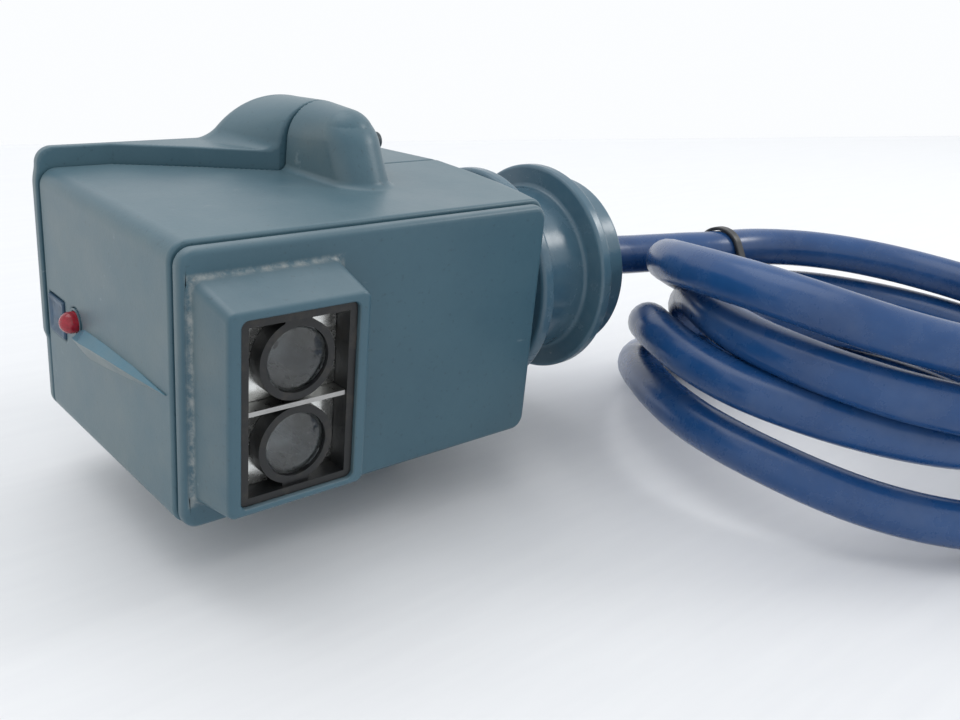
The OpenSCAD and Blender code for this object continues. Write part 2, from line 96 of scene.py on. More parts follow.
class Look:
    """A material under construction: its nodes, the shader, and short ways to add to them."""

    def __init__(self, name, **sockets):
        self.material = bpy.data.materials.new(name)
        self.material.use_nodes = True
        self.tree = self.material.node_tree
        self.shader = self.tree.nodes["Principled BSDF"]
        self.place = self.add("ShaderNodeTexCoord").outputs["Object"]
        for socket, value in sockets.items():
            self.shader.inputs[socket.replace("_", " ")].default_value = value

    def add(self, kind, inputs=(), **settings):
        made = self.tree.nodes.new(kind)
        for key, value in settings.items():
            setattr(made, key, value)
        for socket, value in dict(inputs).items():
            if isinstance(value, bpy.types.NodeSocket):
                self.tree.links.new(value, made.inputs[socket])
            else:
                made.inputs[socket].default_value = value
        return made

    def link(self, output, socket):
        self.tree.links.new(output, self.shader.inputs[socket])

    def noise(self, scale, detail=4.0, rough=0.55, stretch=None):
        """Noise of about 1/scale metres, in object space."""
        place = self.place
        if stretch:
            place = self.add("ShaderNodeMapping", {"Vector": place, "Scale": stretch}).outputs["Vector"]
        values = {"Vector": place, "Scale": scale, "Detail": detail, "Roughness": rough}
        return self.add("ShaderNodeTexNoise", values).outputs["Fac"]

    def span(self, value, low, high, to_low=0.0, to_high=1.0):
        """Value from low to high, mapped to the second span and held there."""
        values = {"Value": value, "From Min": low, "From Max": high, "To Min": to_low, "To Max": to_high}
        return self.add("ShaderNodeMapRange", values).outputs["Result"]

    def math(self, operation, a, b=0.0):
        return self.add("ShaderNodeMath", {0: a, 1: b}, operation=operation).outputs["Value"]

    def mix(self, factor, a, b):
        made = self.add("ShaderNodeMix", {"Factor": factor}, data_type="RGBA")
        for socket, value in ((6, a), (7, b)):
            if isinstance(value, bpy.types.NodeSocket):
                self.tree.links.new(value, made.inputs[socket])
            else:
                made.inputs[socket].default_value = (*value, 1.0)
        return made.outputs[2]

    def facing(self):
        """The parts of the way that the surface faces."""
        normal = self.add("ShaderNodeNewGeometry").outputs["Normal"]
        return self.add("ShaderNodeSeparateXYZ", {"Vector": normal}).outputs

    def band(self, low, high, front, width):
        """Patchy line round an upright rectangle on a plane of constant Y, in the working frame."""
        apart = self.add("ShaderNodeSeparateXYZ", {"Vector": self.place}).outputs
        middle = row([(low[0] + high[0]) / 2, front, (low[1] + high[1]) / 2])
        half = ((high[0] - low[0]) / 2 * MM, (high[1] - low[1]) / 2 * MM)
        across = self.math("ABSOLUTE", self.math("SUBTRACT", apart["X"], float(middle[0])))
        upright = self.math("ABSOLUTE", self.math("SUBTRACT", apart["Z"], float(middle[2])))
        past_side = self.math("SUBTRACT", across, half[0])
        out = self.math("MAXIMUM", past_side, self.math("SUBTRACT", upright, half[1]))
        ahead = self.math("ABSOLUTE", self.math("SUBTRACT", apart["Y"], float(middle[1])))
        far = self.math("MAXIMUM", self.math("ABSOLUTE", out), ahead)
        near = self.span(far, width * MM, 0.2 * width * MM)
        return self.math("MULTIPLY", near, self.span(self.noise(420.0, 6.0, 0.7), 0.4, 0.62, 0.0, 0.38))

    def color(self, value):
        self.link(value, "Base Color")
        return self

    def rough(self, value):
        self.link(value, "Roughness")
        return self

    def bump(self, height, depth, strength=1.0):
        values = {"Height": height, "Distance": depth, "Strength": strength}
        self.link(self.add("ShaderNodeBump", values).outputs["Normal"], "Normal")
        return self


def moulded_plastic(name, base, light, dust=0.35, dirt=None):
    """Satin moulded plastic: cloudy colour, fine spark grain, pale dust on what faces up, painted light on
    what faces left.
    """
    look = Look(name, IOR=1.5)
    cloud = look.span(look.noise(35.0, 5.0), 0.35, 0.7)
    fine = look.span(look.noise(420.0, 3.0), 0.3, 0.75)
    tone = look.mix(look.math("MULTIPLY", cloud, 0.6), base, light)
    tone = look.mix(look.math("MULTIPLY", fine, 0.25), tone, light)
    specks = look.span(look.noise(900.0, 2.0), 0.64, 0.74)
    tone = look.mix(look.math("MULTIPLY", specks, 0.35), tone, tuple(0.4 * c for c in base))
    facing = look.facing()
    up = look.span(facing["Z"], 0.55, 1.0)
    left = look.span(facing["X"], -0.6, -1.0)
    settled = look.math("MULTIPLY", up, look.span(look.noise(60.0, 6.0), 0.3, 0.62, 0.55, 1.0))
    # painted light: surfaces that face left are mixed in patches towards a pale grey, as if lit from that
    # side
    painted_left_light = look.math("MULTIPLY", left, look.span(look.noise(80.0, 6.0), 0.3, 0.7, 0.15, 0.5))
    tone = look.mix(look.math("MULTIPLY", settled, dust), tone, (0.42, 0.46, 0.47))
    tone = look.mix(look.math("MULTIPLY", painted_left_light, 0.45), tone, (0.26, 0.26, 0.21))
    scuffs = look.span(look.noise(150.0, 6.0, 0.7, (0.25, 1.0, 1.0)), 0.66, 0.72)
    tone = look.mix(look.math("MULTIPLY", scuffs, 0.2), tone, (0.36, 0.42, 0.44))
    if dirt:
        tone = look.mix(look.band(*dirt), tone, (0.47, 0.46, 0.42))
    look.color(tone).rough(look.span(cloud, 0.0, 1.0, 0.34, 0.44))
    grain = look.math("ADD", look.noise(1500.0, 2.0), look.math("MULTIPLY", look.noise(260.0, 2.0), 0.5))
    return look.bump(grain, 0.00005, 0.5).material


def pointer_plastic(name, upper, lower):
    """The pointer's plastic: blue on the facet that looks up, pale grey-green on the one that looks down.
    """
    look = Look(name, IOR=1.5)
    cloud = look.span(look.noise(120.0, 5.0), 0.35, 0.7)
    tone = look.mix(look.span(look.facing()["Z"], -0.15, 0.15), lower, upper)
    tone = look.mix(look.math("MULTIPLY", cloud, 0.35), tone, (0.16, 0.22, 0.24))
    look.color(tone).rough(look.span(cloud, 0.0, 1.0, 0.34, 0.46))
    return look.bump(look.noise(1500.0, 2.0), 0.00005, 0.5).material


def soft_rubber(name, base, light, rough=(0.24, 0.38), dust=0.1):
    """Smooth moulded rubber with handling marks and a little dust."""
    look = Look(name, IOR=1.5)
    cloud = look.span(look.noise(28.0, 5.0), 0.35, 0.68)
    smear = look.span(look.noise(90.0, 6.0, 0.65), 0.42, 0.7)
    tone = look.mix(cloud, base, light)
    tone = look.mix(look.math("MULTIPLY", smear, dust), tone, (0.45, 0.48, 0.5))
    look.color(tone).rough(look.span(smear, 0.0, 1.0, rough[0], rough[1]))
    return look.bump(look.noise(700.0, 3.0), 0.00004, 0.4).material


def plain_plastic(name, base, rough=0.45, fleck=1.6):
    """Small dark plastic and laminate parts: mottled, with a fine grain."""
    look = Look(name, IOR=1.48)
    mottle = look.span(look.noise(240.0, 5.0), 0.35, 0.7)
    look.color(look.mix(mottle, base, tuple(min(1.0, c * fleck + 0.01) for c in base)))
    look.rough(look.span(look.noise(500.0, 4.0), 0.3, 0.7, rough - 0.08, rough + 0.1))
    return look.bump(look.noise(1200.0, 2.0), 0.00003, 0.5).material


def drawn_metal(name, base, rough=0.3, stretch=(1.0, 1.0, 14.0)):
    """Metal with fine lines and slightly uneven tarnish."""
    look = Look(name, Metallic=1.0)
    lines = look.noise(700.0, 4.0, 0.6, stretch)
    stain = look.span(look.noise(130.0, 5.0), 0.4, 0.75)
    look.color(look.mix(stain, base, tuple(0.72 * c for c in base)))
    look.rough(look.span(lines, 0.3, 0.7, rough - 0.08, rough + 0.14))
    return look.bump(lines, 0.00002, 0.4).material


def clear_lens(name, clean=(0.52, 0.54, 0.56), hazed=(0.30, 0.31, 0.32)):
    """Smoky moulded plastic, hazed and smeared on its face."""
    look = Look(name, IOR=1.49)
    look.shader.inputs["Transmission Weight"].default_value = 1.0
    haze = look.span(look.noise(160.0, 6.0, 0.65), 0.4, 0.75)
    look.color(look.mix(haze, clean, hazed))
    look.rough(look.span(haze, 0.0, 1.0, 0.02, 0.14))
    return look.bump(look.noise(500.0, 3.0), 0.00002, 0.3).material


def red_lens(name):
    """Tinted clear dome of the indicator."""
    look = Look(name, IOR=1.5)
    look.shader.inputs["Transmission Weight"].default_value = 0.45
    tint = look.span(look.noise(900.0, 3.0), 0.35, 0.7)
    look.color(look.mix(tint, (0.42, 0.012, 0.03), (0.60, 0.03, 0.06)))
    return look.rough(look.span(tint, 0.0, 1.0, 0.08, 0.16)).material


def grimy_black(name):
    """Black inner frame with a little brown dust caught in it."""
    look = Look(name, IOR=1.45)
    grime = look.span(look.noise(230.0, 7.0, 0.7), 0.5, 0.72)
    look.color(look.mix(look.math("MULTIPLY", grime, 0.4), (0.008, 0.009, 0.010), (0.10, 0.09, 0.075)))
    look.rough(look.span(grime, 0.0, 1.0, 0.4, 0.8))
    return look.bump(look.noise(900.0, 4.0), 0.00008, 0.7).material


def pale_bench(name):
    """The plain pale surface that the object stands on, with a whisper of grain."""
    look = Look(name, IOR=1.45)
    grain = look.noise(26.0, 5.0, 0.55, (1.0, 9.0, 1.0))
    look.color(look.mix(look.span(grain, 0.35, 0.7), (0.765, 0.775, 0.795), (0.785, 0.795, 0.812)))
    look.rough(look.span(grain, 0.3, 0.7, 0.5, 0.6))
    return look.material


TEAL = (0.040, 0.098, 0.132)
TEAL_LIGHT = (0.062, 0.130, 0.165)
HOOD_ROOT = ((2.2, 6.7), (35.6, 53.8), -0.4, 1.1)
LOOKS = {
    "shell": moulded_plastic("shell_teal", TEAL, TEAL_LIGHT, 0.10),
    "plate": moulded_plastic("plate_teal", (0.034, 0.088, 0.122), (0.048, 0.112, 0.148), 0.2, HOOD_ROOT),
    "boot": soft_rubber("boot_teal", (0.046, 0.104, 0.150), (0.068, 0.138, 0.186), (0.22, 0.32), 0.06),
    "lead": soft_rubber("lead_blue", (0.006, 0.046, 0.155), (0.012, 0.068, 0.210), (0.24, 0.36), 0.05),
    "seal": plain_plastic("seal_black", (0.016, 0.018, 0.02), 0.6),
    "latch": plain_plastic("latch_blue", (0.018, 0.048, 0.085), 0.4),
    "rib": pointer_plastic("rib_teal", (0.060, 0.170, 0.235), (0.125, 0.165, 0.170)),
    "foot": plain_plastic("foot_black", (0.02, 0.021, 0.022), 0.7),
    "steel": drawn_metal("screw_steel", (0.55, 0.55, 0.54)),
    "frame": grimy_black("frame_black"),
    "clear": clear_lens("lens_clear"),
    "bright": drawn_metal("bright_strip", (0.42, 0.42, 0.41), 0.3),
    "mirror": drawn_metal("mirror_coat", (0.72, 0.73, 0.71), 0.2, (1.0, 1.0, 1.0)),
    "glass": clear_lens("tube_glass", (0.86, 0.9, 0.93), (0.7, 0.74, 0.76)),
    "board": plain_plastic("board_green", (0.02, 0.09, 0.04), 0.4),
    "iron": drawn_metal("core_iron", (0.16, 0.16, 0.17), 0.45),
    "sleeve": plain_plastic("capacitor_blue", (0.015, 0.03, 0.11), 0.3),
    "red": red_lens("lamp_red"),
    "button": plain_plastic("button_dark", (0.018, 0.03, 0.038), 0.45),
    "spring": drawn_metal("spring_steel", (0.6, 0.6, 0.6)),
    "switch": plain_plastic("switch_black", (0.014, 0.014, 0.016), 0.45),
    "clamp": plain_plastic("clamp_grey", (0.05, 0.052, 0.055), 0.5),
    "wire": plain_plastic("wire_red", (0.25, 0.02, 0.02), 0.35),
    "tie": plain_plastic("tie_black", (0.018, 0.02, 0.022), 0.35),
    "plug": plain_plastic("plug_black", (0.016, 0.017, 0.018), 0.5),
    "collar": drawn_metal("collar_grey", (0.5, 0.51, 0.52), 0.35),
    "brass": drawn_metal("pin_brass", (0.72, 0.53, 0.24), 0.25),
}
CAD_LOOKS = {
    "plate_gasket": "seal", "cover_screws": "steel", "lens_divider": "bright",
    "reflector_upper": "mirror", "reflector_lower": "mirror", "flash_tube_upper": "glass",
    "flash_tube_lower": "glass", "circuit_board": "board", "trigger_transformer": "iron",
    "storage_capacitor": "sleeve", "button_spring": "spring", "button_switch": "switch",
    "cord_clamp": "clamp", "lead_core": "lead", "core_wires": "wire", "plug_pins": "brass",
    "lens_frame": "frame", "lamp_bushing": "shell",
}


def dress_cad():
    """Gives each CAD node that stays in view or inside its own material."""
    for name, look in CAD_LOOKS.items():
        for slot in bpy.data.objects[name].material_slots:
            slot.material = LOOKS[look]


# ---- making pieces -------------------------------------------------------


def piece(name, mesh, look, nodes=(), body="head"):
    """Links a mesh in the row frame as a piece that rides on a body and stands for CAD nodes."""
    made = bpy.data.objects.new(name, mesh)
    bpy.context.collection.objects.link(made)
    mesh.materials.append(LOOKS[look])
    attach(made, body)
    if nodes:
        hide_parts(*nodes)
    return made


def mesh_of(name, points, faces, smooth=True):
    """A mesh from points in metres, with its faces turned outwards."""
    mesh = bpy.data.meshes.new(name)
    mesh.from_pydata([tuple(p) for p in points], [], [tuple(f) for f in faces])
    mesh.validate()
    work = bmesh.new()
    work.from_mesh(mesh)
    bmesh.ops.recalc_face_normals(work, faces=work.faces)
    work.to_mesh(mesh)
    work.free()
    for face in mesh.polygons:
        face.use_smooth = smooth
    return mesh


def merge_seam(mesh):
    """Joins the last ring of a closed loft to its first."""
    work = bmesh.new()
    work.from_mesh(mesh)
    bmesh.ops.remove_doubles(work, verts=work.verts, dist=1e-7)
    bmesh.ops.recalc_face_normals(work, faces=work.faces)
    work.to_mesh(mesh)
    work.free()
    return mesh


def keep_flats(made):
    """Keeps large flat faces flat where smooth shading runs round narrow bevels."""
    made.modifiers.new("flats", "WEIGHTED_NORMAL").keep_sharp = True
    return made


def loft(rings, close_start=True, close_end=True):
    """Points and faces of a skin through rings that have the same number of points."""
    count = len(rings[0])
    points = [p for ring in rings for p in ring]
    faces = []
    for i in range(len(rings) - 1):
        for k in range(count):
            j = (k + 1) % count
            faces.append((i * count + k, i * count + j, (i + 1) * count + j, (i + 1) * count + k))
    if close_start:
        faces.append(tuple(range(count)))
    if close_end:
        faces.append(tuple(range((len(rings) - 1) * count, len(rings) * count)))
    return points, faces


def turned(profile, start, axis, count=96):
    """A turned body: profile is (distance, radius) along an axis from a start point, in millimetres."""
    axis = Vector(axis).normalized()
    side = axis.orthogonal().normalized()
    other = axis.cross(side)
    rings = []
    for distance, radius in profile:
        middle = Vector(start) + axis * distance
        angles = [2 * math.pi * k / count for k in range(count)]
        rings.append([middle + radius * (math.cos(a) * side + math.sin(a) * other) for a in angles])
    points, faces = loft(rings)
    return row([tuple(p) for p in points]), faces


def arc(middle, radius, start, end, steps=8):
    """Points of an arc in two dimensions, angles in degrees."""
    angles = [math.radians(start + (end - start) * i / steps) for i in range(steps + 1)]
    return [(middle[0] + radius * math.cos(a), middle[1] + radius * math.sin(a)) for a in angles]


def round_rect(low, size, radius, steps=8):
    """A rectangle with round corners, counter-clockwise from its lower right corner."""
    right, top = low[0] + size[0], low[1] + size[1]
    r = radius
    return (
        arc((right - r, low[1] + r), r, -90, 0, steps)
        + arc((right - r, top - r), r, 0, 90, steps)
        + arc((low[0] + r, top - r), r, 90, 180, steps)
        + arc((low[0] + r, low[1] + r), r, 180, 270, steps)
    )


# ---- the lead ------------------------------------------------------------

LEAD_ROUTE = [
    (139, 35.5, 29.6), (145, 35.5, 29.6), (151, 35.4, 29.5), (157, 34.9, 29.2), (163, 34, 29),
    (169, 32.6, 28.9), (175, 30.8, 29), (181, 28.6, 29.2), (187, 26.2, 29.5), (193, 24, 29.6),
]
TAIL_ROUTE = [
    (257, -16, -10.4), (259, -20, -10.2), (261, -24, -9.6), (262.8, -28, -8.4),
    (264.5, -32, -7), (266.2, -36.4, -5.2), (268, -41, -3.5),
]
COIL_X, COIL_Y = 193.5, -37.0
# The coil at every eighth of a turn, clockwise from its far side: height over the working frame's zero
COIL_HEIGHTS = (
    29.6, 29.5, 28, 28.5, 32.5, 39.5, 44, 37,
    19.5, 15.5, 15, 15.5, 19.5, 26, 29, 26.5,
    8, 3.5, 3, 4, 10, 14.5, 18, 17.5,
    -3, -8.5, -10.4, -10.4, -10, -4, 2, 0,
    -9, -10.4,
)
# and its radius
COIL_RADII = (
    60, 60, 60, 60, 60, 60, 60, 60,
    53, 59.5, 60, 60, 62, 61.5, 56, 50,
    56, 58, 58, 56, 54, 56, 60, 62,
    61, 60, 60, 60, 60, 60, 60, 60,
    71.5, 71,
)


def along(values, place):
    """A value between evenly spaced ones, on a Catmull-Rom curve."""
    last = len(values) - 1
    index = min(int(place), last - 1)
    t = place - index
    a, b, c, d = (values[min(max(index + k, 0), last)] for k in (-1, 0, 1, 2))
    return 0.5 * (2 * b + (c - a) * t + (2 * a - 5 * b + 4 * c - d) * t**2 + (3 * b - a - 3 * c + d) * t**3)


def coil_points(steps=4, first=2, last=132):
    """The turns of the coil, clockwise from near its far side and downwards."""
    points = []
    for i in range(first, last + 1):
        place = i / steps
        angle = math.radians(90 - 45 * place)
        radius = along(COIL_RADII, place)
        spot = (COIL_X + radius * math.cos(angle), COIL_Y + radius * math.sin(angle))
        points.append((*spot, along(COIL_HEIGHTS, place)))
    return points


def smooth_route(points, spacing=3.0):
    """Evenly spaced points along a smooth curve through unevenly spaced ones."""
    p = np.array(points, float)
    gap = np.linalg.norm(np.diff(p, axis=0), axis=1)[:, None]
    way = np.diff(p, axis=0) / gap
    inner = (way[1:] * gap[:-1] + way[:-1] * gap[1:]) / (gap[1:] + gap[:-1])
    tangent = np.vstack([way[:1], inner, way[-1:]])
    fine = []
    for i, g in enumerate(gap):
        for t in np.linspace(0, 1, 12, endpoint=False):
            start = p[i] * (1 + 2 * t) * (1 - t) ** 2 + tangent[i] * g * t * (1 - t) ** 2
            fine.append(start + p[i + 1] * t * t * (3 - 2 * t) - tangent[i + 1] * g * t * t * (1 - t))
    fine = np.array([*fine, p[-1]])
    run = np.concatenate([[0], np.cumsum(np.linalg.norm(np.diff(fine, axis=0), axis=1))])
    at = np.linspace(0, run[-1], int(run[-1] / spacing) + 1)
    return np.stack([np.interp(at, run, fine[:, k]) for k in range(3)], axis=1)


def make_lead():
    """The whole lead from the neck to the plug, as one round tube."""
    route = row(smooth_route([*LEAD_ROUTE, *coil_points(), *TAIL_ROUTE]))
    data = bpy.data.curves.new("lead", "CURVE")
    data.dimensions = "3D"
    data.bevel_depth = LEAD_D / 2 * MM
    data.bevel_resolution = 8
    data.use_fill_caps = True
    line = data.splines.new("POLY")
    line.points.add(len(route) - 1)
    line.points.foreach_set("co", np.column_stack([route, np.ones(len(route))]).ravel())
    line.use_smooth = True
    made = bpy.data.objects.new("lead", data)
    bpy.context.collection.objects.link(made)
    data.materials.append(LOOKS["lead"])
    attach(made, "head")
    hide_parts("cable", "cable_coil", "cable_tail")
    return made, route


def make_plug():
    """The plug past the end of the lead: a ribbed tail, a body and a knurled ring."""
    start = TAIL_ROUTE[-1]
    turn = math.radians(-72)
    axis = (math.cos(turn), math.sin(turn), 0)
    one_rib = ((0, 7.6), (0.4, 8.4), (1.2, 8.4), (1.6, 7.4))
    ribs = [(1.0 + 2.4 * i + s, r) for i in range(5) for s, r in one_rib]
    profile = [(0, 6.6), (0.4, 7.2), *ribs, (14, 9.6), (16, 10.5), (39, 10.5), (40, 9.8)]
    profile += [(40, 7.5), (42.6, 7.5), (43, 7.1)]
    mesh = mesh_of("plug_shell", *turned(profile, start, axis))
    body = keep_flats(piece("plug_shell", mesh, "plug", ["plug_body"]))
    grooves = 24
    count = grooves * 8
    rings = []
    direction = Vector(axis)
    side = Vector((-axis[1], axis[0], 0))
    for distance, radius, cut in (
        (24.0, 10.7, 0), (24.0, 11.9, 0), (24.6, 12.5, 0), (26.2, 12.5, 0), (26.8, 12.5, 0.7),
        (35.2, 12.5, 0.7), (35.8, 12.5, 0), (37.4, 12.5, 0), (38.0, 11.9, 0), (38.0, 10.7, 0),
    ):
        ring = []
        for k in range(count):
            angle = 2 * math.pi * k / count
            dip = cut * max(0.0, math.cos(grooves * angle)) ** 0.5
            out = (radius - dip) * (math.cos(angle) * side + math.sin(angle) * Vector((0, 0, 1)))
            ring.append(tuple(Vector(start) + direction * distance + out))
        rings.append(ring)
    rings.append(rings[0])
    points, faces = loft(rings, False, False)
    mesh = mesh_of("plug_ring", row(points), faces)
    merge_seam(mesh)
    ring = keep_flats(piece("plug_ring", mesh, "collar", ["plug_collar"]))
    return body, ring


def make_tie():
    """A flat strap, closed round the lead and the turn that passes under it."""
    x, lean = 201.0, 0.12
    width, inner, outer = 3.2, 6.3, 7.4
    upper, lower = np.array((22.3, 29.6)), np.array((16.2, 18.6))
    along_loop = (lower - upper) / np.linalg.norm(lower - upper)
    out = np.array((-along_loop[1], along_loop[0]))
    loop = []
    for middle, turn in ((upper, 180), (lower, 0)):
        for i in range(25):
            angle = math.radians(turn + 90 - 180 * i / 24)
            loop.append((middle, math.cos(angle) * along_loop + math.sin(angle) * out))
    section = round_rect((-width / 2, inner), (width, outer - inner), 0.4, 3)
    rings = []
    for middle, way in loop:
        ring = []
        for a, r in section:
            y, z = middle + way * r
            ring.append((x + a - lean * (y - upper[0]), y, z))
        rings.append(ring)
    rings.append(rings[0])
    points, faces = loft(rings, False, False)
    mesh = merge_seam(mesh_of("lead_tie", row(points), faces))
    return keep_flats(piece("lead_tie", mesh, "tie", ["cable_tie"]))


# ---- moulded shells as distance fields -----------------------------------


def both(a, b, radius):
    """Where both solids are, with a round edge of that radius."""
    inside = np.minimum(np.maximum(a, b), -radius)
    return inside + np.hypot(np.maximum(a + radius, 0), np.maximum(b + radius, 0))


def either(a, b, radius):
    """Where either solid is, with a round fillet of that radius."""
    outside = np.maximum(np.minimum(a, b), radius)
    return outside - np.hypot(np.maximum(radius - a, 0), np.maximum(radius - b, 0))


SPLIT_RUN = np.array([(-10, 68.5), (17, 68.5), (34, 60.2), (51, 50.6), (80, 48.6), (120, 48.6)], float)
# The right wall from above: distance from the lens face, and where the wall is
RIGHT_WALL = np.array([(0, 95.5), (12, 98.6), (22, 100.3), (32, 101.4), (48, 102.2), (72.5, 95.2)], float)


def behind_split(x, y):
    """Distance behind the joint between the shells, seen from above."""
    best = 1e9
    for (x0, y0), (x1, y1) in zip(SPLIT_RUN[:-1], SPLIT_RUN[1:]):
        dx, dy = x1 - x0, y1 - y0
        t = np.clip(((x - x0) * dx + (y - y0) * dy) / (dx * dx + dy * dy), 0, 1)
        best = np.minimum(best, np.hypot(x - x0 - t * dx, y - y0 - t * dy))
    return best * np.where(y > np.interp(x, SPLIT_RUN[:, 0], SPLIT_RUN[:, 1]), 1.0, -1.0)


def box_field(x, y, z, top):
    """The box without its humps: its right wall swells, and its edges are round."""
    right = 0.97 * (x - np.interp(y, RIGHT_WALL[:, 0], RIGHT_WALL[:, 1]))
    across = both(-x, right, 1.0)
    upright = both(-z, z - top, 1.0)
    return both(both(across, upright, 4.0), y - BACK_Y, 2.2)


def front_hump(x, y, z):
    """The leaning nose of a hump, which widens up to the joint."""
    back = y - 0.5 * np.clip(z - BODY_H, -8, 13)
    share = np.clip((back - 31.5) / 19, 0, 1)
    middle = HUMP_X - 0.4 + 0.5 * share
    rise = np.maximum(z - 69.4 + 2.4 * share, 0)
    return np.sqrt((x - middle) ** 2 + np.maximum(31.5 - back, 0) ** 2 + rise**2) - 7.1 - 2.6 * share


def rear_hump(x, y, z):
    """The back of a hump, which spreads into a low bell."""
    share = np.clip((y - 50.5) / 17.5, 0, 1)
    rise = np.maximum(z - 66.2 + 15.3 * share, 0)
    return both(np.hypot(x - HUMP_X, rise) - 10.3 - 13.7 * share, y - BACK_Y, 4.0)


def with_humps(solid, hump, x, y, z, radius):
    """The box with an upper hump, and a lower one that is cut flat for the foot."""
    solid = either(solid, np.maximum(hump(x, y, z), 20.0 - z), radius)
    below = both(np.maximum(hump(x, y, BODY_H - z), z - 40.0), -z - STAND_H + 3.0, 1.0)
    return either(solid, below, radius)


def openings(x, y, z):
    """Distance to the nearest hole through the walls, negative inside one."""
    lamp = np.maximum(np.hypot(y - LAMP_Y, z - LAMP_Z) - LAMP_R - 0.8, x - 10)
    y0, z0, w, h = LATCH
    beside = np.abs(y - y0 - w / 2) - w / 2 - 0.2
    over = np.abs(z - z0 - h / 2) - h / 2 - 0.2
    latch = np.maximum(np.maximum(beside, over), x - 5)
    neck = np.maximum(np.hypot(y - NECK_Y, z - NECK_Z) - 20.3, 80 - x)
    button = np.maximum(np.hypot(y - BUTTON_Y, z - BUTTON_Z) - BUTTON_R - 0.06, 66 - x)
    return np.minimum(np.minimum(lamp, latch), np.minimum(neck, button))


def screw_field(x, y, z, radius, left_y, right_y):
    """Four round columns along Y behind the two seats."""
    column = 1e9
    for cx, seat in ((7.0, left_y), (76.0, right_y)):
        for cz in (7.0, 53.0):
            column = np.minimum(column, np.maximum(np.hypot(x - cx, z - cz) - radius, seat - y))
    return column


def front_field(x, y, z):
    """The front shell: hollow, cut off at the plate and at the joint with the rear cover."""
    solid = with_humps(box_field(x, y, z, BODY_H), front_hump, x, y, z, 1.6)
    shell = np.maximum(solid, -(solid + WALL))
    shell = both(shell, PLATE_T + SEAL_T - y, 0.8)
    shell = both(shell, -openings(x, y, z), 0.3)
    return both(shell, behind_split(x, y) + 0.25, 0.4)


def rear_field(x, y, z):
    """The rear cover: the back of the box with the raised pad and the screw posts."""
    plain = box_field(x, y, z, BODY_H)
    pad = np.maximum(box_field(x, y, z, BODY_H + PAD_H), x - HUMP_X)
    solid = either(plain, both(pad, 20.0 - z, 1.0), 2.0)
    solid = with_humps(solid, rear_hump, x, y, z, 2.6)
    hollow = with_humps(plain, rear_hump, x, y, z, 2.6)
    shell = np.maximum(solid, -(hollow + WALL))
    posts = np.maximum(screw_field(x, y, z, 5.0, 48.6, 48.6), solid + 0.5)
    shell = np.minimum(shell, posts)
    shell = both(shell, -screw_field(x, y, z, 3.05, 68.0, 58.0), 0.4)
    shell = both(shell, -screw_field(x, y, z, 1.7, 40.0, 40.0), 0.1)
    shell = both(shell, -openings(x, y, z), 0.3)
    return both(shell, -behind_split(x, y) + 0.25, 0.5)


def seal_field(x, y, z):
    """The seal that lies in the joint between the shells."""
    plain = box_field(x, y, z, BODY_H)
    solid = with_humps(plain, front_hump, x, y, z, 1.6)
    ring = np.maximum(solid + 1.0, -(solid + 2.3))
    ring = np.maximum(ring, np.abs(behind_split(x, y) + 0.05) - 0.4)
    return np.maximum(ring, -openings(x, y, z))


def gradient(field, p, step=0.02):
    """How a distance field rises at each point, which is the way out of the solid."""
    found = []
    for k in range(3):
        shift = np.zeros(3)
        shift[k] = step
        found.append(field(*(p + shift).T) - field(*(p - shift).T))
    return np.stack(found, axis=1) / (2 * step)


